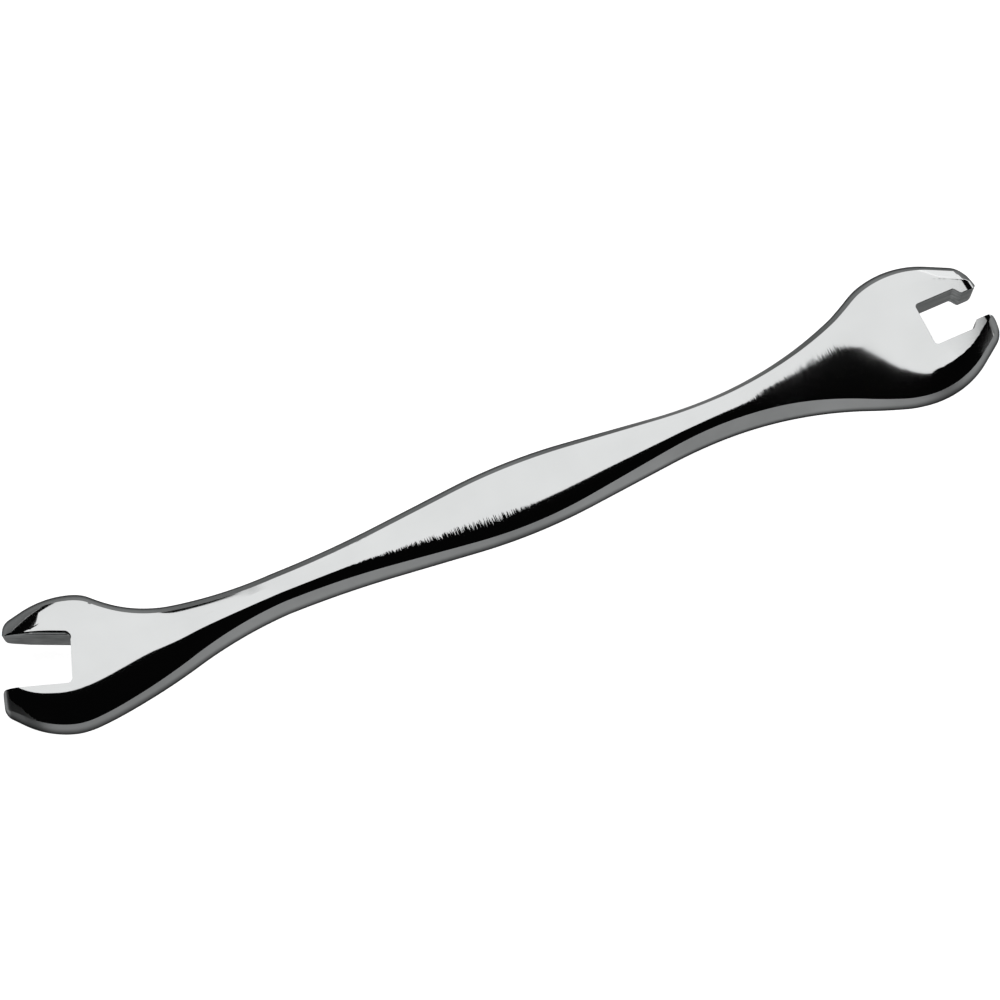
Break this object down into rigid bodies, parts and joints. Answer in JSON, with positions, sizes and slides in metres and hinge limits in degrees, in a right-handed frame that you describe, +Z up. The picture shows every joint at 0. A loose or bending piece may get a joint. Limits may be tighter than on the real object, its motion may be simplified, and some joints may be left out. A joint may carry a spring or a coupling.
{
  "type": "spoke wrench",
  "caption": "Forged and polished double-ended spoke wrench: an open jaw turned to one side, a slim waisted grip and a captive jaw with inturned lips for wheel-spoke nipples.",
  "frame": {"origin": "under the middle of the wrench's box, on the surface it lies on", "axes": "+X along the grip towards the captive jaw, +Y towards the back prong and hook, +Z up from the surface that the wrench lies on"},
  "size_m": [0.1314, 0.019, 0.0062],
  "materials": {
    "polished_steel": "polished forging with bright chrome plate"
  },
  "bodies": {
    "root": {"open_back_prong": "polished_steel", "open_front_prong": "polished_steel", "open_throat": "polished_steel", "open_neck": "polished_steel", "grip": "polished_steel", "captive_neck": "polished_steel", "captive_throat": "polished_steel", "captive_back_hook": "polished_steel", "captive_front_hook": "polished_steel"}
  },
  "joints": []
}
